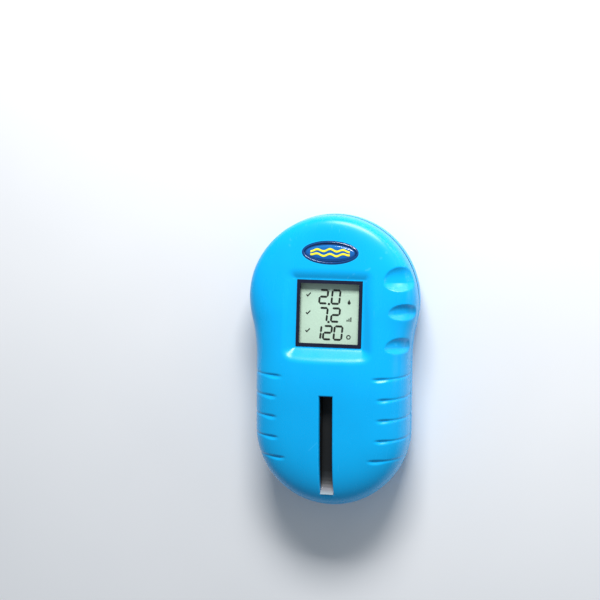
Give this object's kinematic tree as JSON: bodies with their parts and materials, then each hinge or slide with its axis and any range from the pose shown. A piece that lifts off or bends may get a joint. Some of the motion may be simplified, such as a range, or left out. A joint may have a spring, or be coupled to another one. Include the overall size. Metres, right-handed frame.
{
  "type": "digital water tester",
  "caption": "Handheld reader for water test strips: domed two-shell casing with a square display, an oval push button, an open strip channel, finger dents and a battery door in its flat back.",
  "frame": {"origin": "centre of the bounding box's base, on the flat back's plane", "axes": "+Z out of the front face, +Y along the casing towards the button end, +X to the right seen from the front"},
  "size_m": [0.067, 0.115, 0.031],
  "materials": {
    "casing_blue": "satin gloss moulded ABS",
    "rubber_dark": "matte silicone",
    "frame_black": "satin moulded plastic",
    "clear_window": "clear polished acrylic",
    "lcd_glass": "liquid crystal cell with polariser",
    "segment_ink": "dark segments",
    "reflector_film": "satin reflecting film",
    "white_plastic": "moulded plastic",
    "zebra_rubber": "layered conductive silicone",
    "board_green": "solder-masked glass epoxy",
    "chip_black": "moulded epoxy",
    "tinned_metal": "tin plated",
    "component_tan": "fired ceramic chips",
    "plunger_red": "moulded plastic",
    "badge_navy": "gloss moulded plastic",
    "badge_blue": "domed gloss resin over print",
    "wave_yellow": "printed waves under resin",
    "tray_black": "light-absorbing moulded plastic",
    "ramp_grey": "polished plastic insert",
    "spring_steel": "nickel plated",
    "led_lens": "clear epoxy lens",
    "sensor_purple": "filtered epoxy",
    "cell_jacket": "plain shrink sleeve",
    "label_film": "blank satin film"
  },
  "bodies": {
    "casing": {"front_shell": "casing_blue", "rear_shell": "casing_blue", "shell_gasket": "rubber_dark", "display_frame": "frame_black", "display_window": "clear_window", "lcd_glass": "lcd_glass", "lcd_segments": "segment_ink", "lcd_reflector": "reflector_film", "lcd_holder": "white_plastic", "zebra_connectors": "zebra_rubber", "main_board": "board_green", "processor_chip": "chip_black", "chip_leads": "tinned_metal", "board_components": "component_tan", "crystal_can": "tinned_metal", "tact_switch": "chip_black", "button_boot": "rubber_dark", "badge_ring": "badge_navy", "strip_tray": "tray_black", "strip_ramp": "ramp_grey", "strip_cover": "tray_black", "strip_spring": "spring_steel", "optics_block": "tray_black", "optics_window": "clear_window", "sensor_leds": "led_lens", "photo_sensors": "sensor_purple", "battery_cell_left": "cell_jacket", "battery_cell_right": "cell_jacket", "battery_springs": "spring_steel", "battery_contacts": "tinned_metal", "case_screws": "spring_steel", "board_screws": "spring_steel", "rating_label": "label_film"},
    "door": {"battery_door": "casing_blue"},
    "button": {"button_cap": "badge_navy", "badge_plate": "badge_blue", "badge_waves": "wave_yellow", "switch_plunger": "plunger_red"}
  },
  "joints": [
    {"name": "button_press", "type": "slide", "parent": "casing", "child": "button", "axis": [0, -0.1564, -0.9877], "range_m": [0, 0.0005], "stiffness_N_per_m": 600, "deforming": ["button_boot"]},
    {"name": "battery_door", "type": "hinge", "parent": "casing", "child": "door", "pos_m": [0, 0.0165, 0.00015], "axis": [1, 0, 0], "range_deg": [0, 70]}
  ]
}
